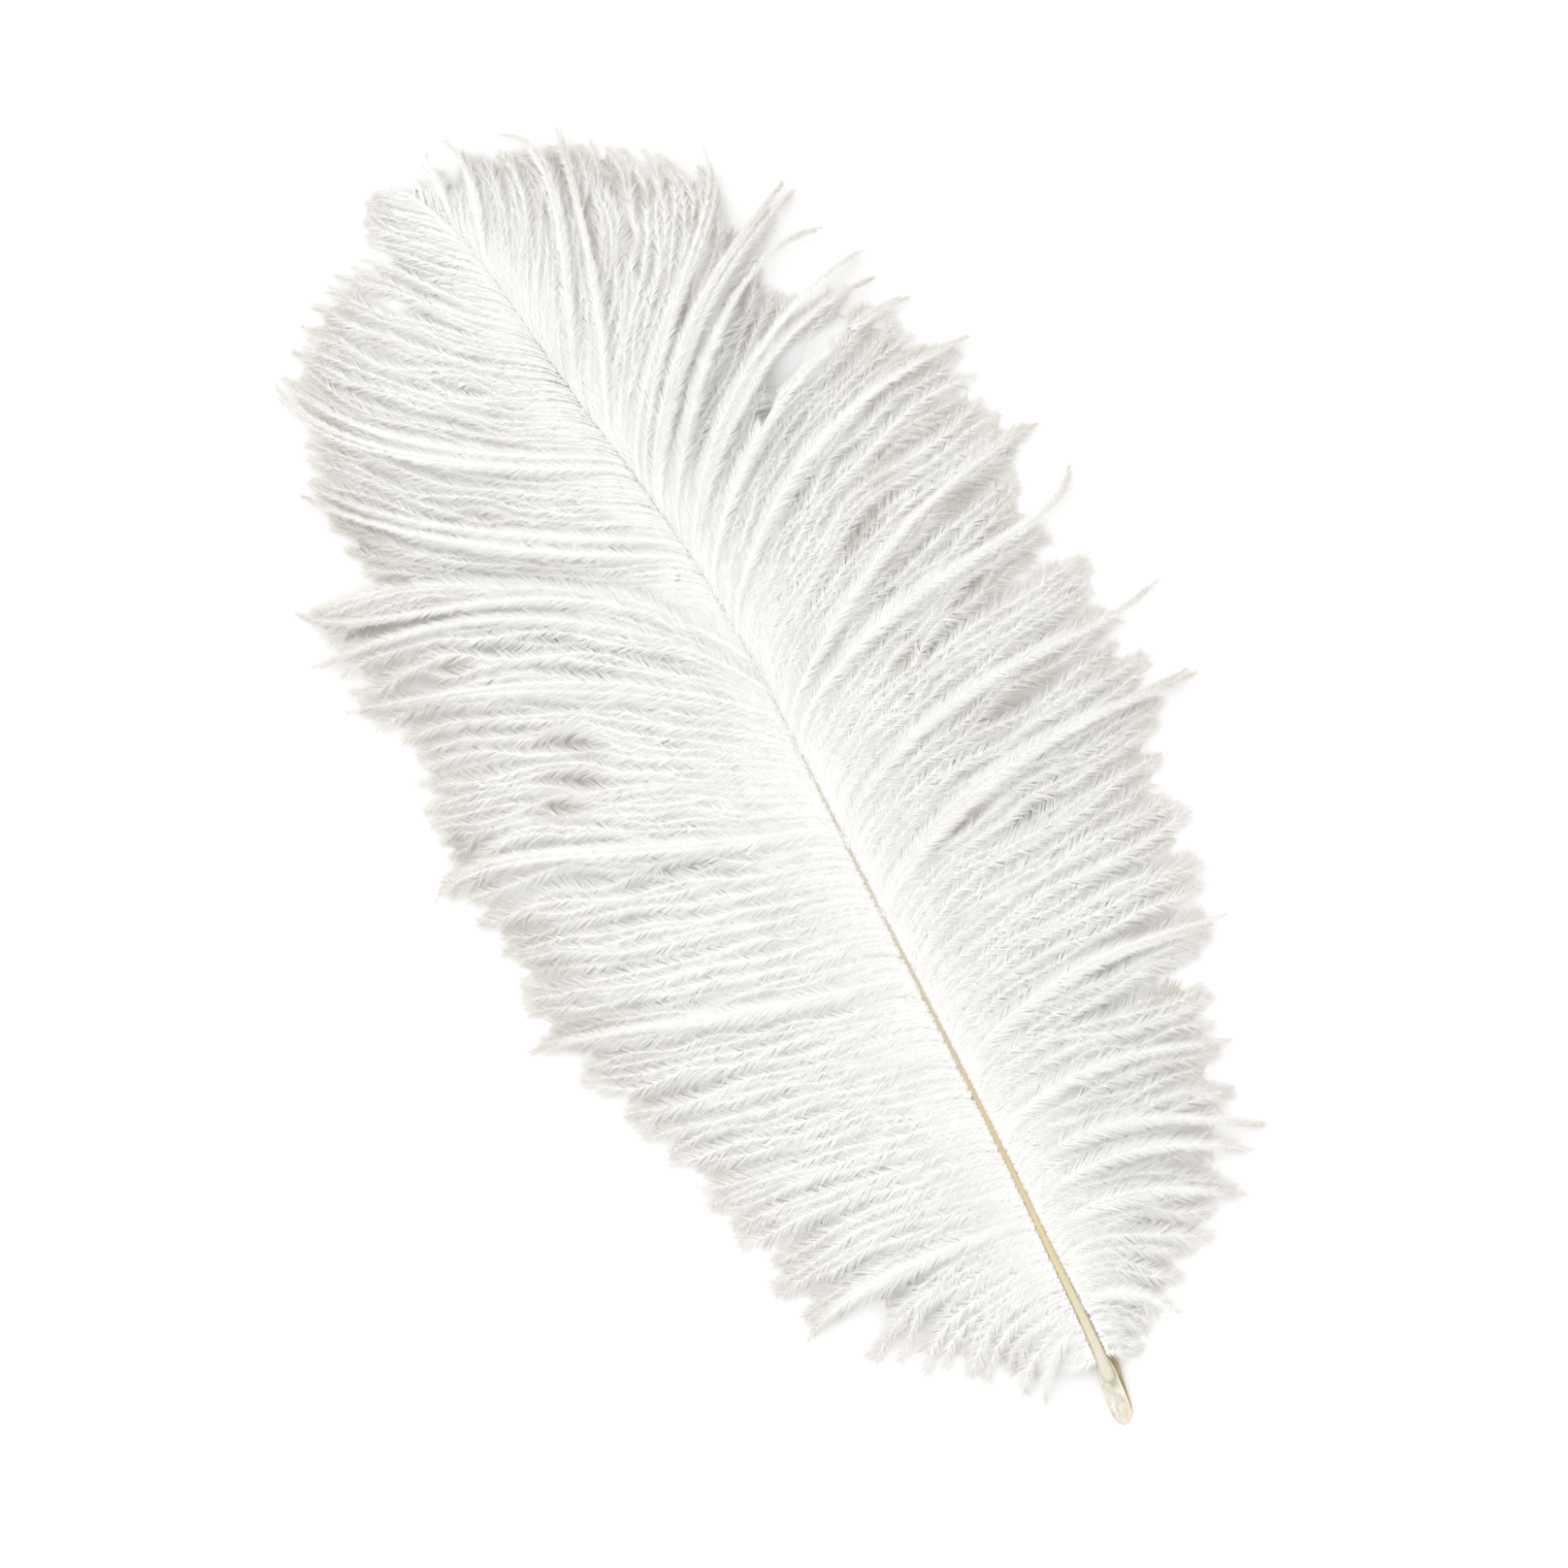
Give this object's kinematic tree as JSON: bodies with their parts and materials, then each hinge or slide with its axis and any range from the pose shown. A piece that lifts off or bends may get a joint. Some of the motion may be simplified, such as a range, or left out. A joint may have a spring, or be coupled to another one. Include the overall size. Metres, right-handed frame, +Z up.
{
  "type": "ostrich feather",
  "caption": "Full white ostrich plume lying convex side up: a tapering cream shaft with two broad, soft vanes of drooping locks.",
  "frame": {"origin": "on the table, under the middle of the plume's box", "axes": "+Y from the quill end to the tip, +Z up out of the table, +X to the right vane seen from above"},
  "size_m": [0.191, 0.3572, 0.018],
  "materials": {
    "vane": "soft matt white barbs with a faint silk sheen",
    "shaft": "satin cream horn, ivory at the quill"
  },
  "bodies": {
    "root": {"feather": "vane"}
  },
  "joints": []
}
